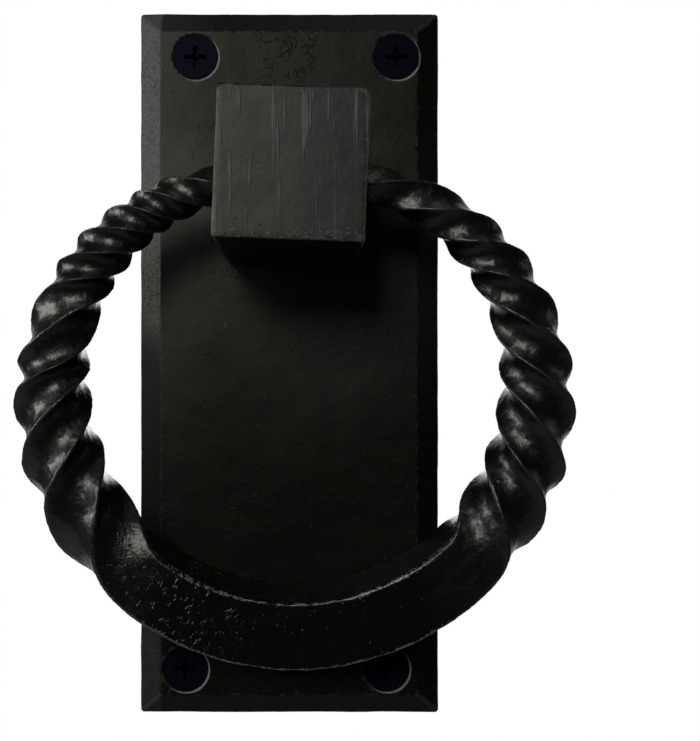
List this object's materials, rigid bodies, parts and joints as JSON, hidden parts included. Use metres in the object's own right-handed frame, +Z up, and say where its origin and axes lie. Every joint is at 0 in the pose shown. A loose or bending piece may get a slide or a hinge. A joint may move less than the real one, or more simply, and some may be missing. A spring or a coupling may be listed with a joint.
{
  "type": "ring door knocker",
  "caption": "Ring door knocker: a bevelled rectangular plate, a square post, and a hinged ring of twisted square bar that strikes the plate.",
  "frame": {"origin": "the middle of the plate's back face, on the door's surface", "axes": "+Z up the plate, +Y out of the plate's back into the door, +X to the right as seen from the front; the front faces -Y"},
  "size_m": [0.1133, 0.0749, 0.1524],
  "materials": {
    "black_iron": "black paint on rough iron",
    "screw_steel": "black oxide"
  },
  "bodies": {
    "mounted": {"back_plate": "black_iron", "post": "black_iron", "post_screw": "screw_steel", "mounting_screw_top_left": "screw_steel", "mounting_screw_top_right": "screw_steel", "mounting_screw_bottom_left": "screw_steel", "mounting_screw_bottom_right": "screw_steel"},
    "knocker": {"ring": "black_iron"}
  },
  "joints": [
    {"name": "ring_hinge", "type": "hinge", "parent": "mounted", "child": "knocker", "pos_m": [0.0008, -0.024, 0.0352], "axis": [-1, 0, 0], "range_deg": [0, 196]}
  ]
}
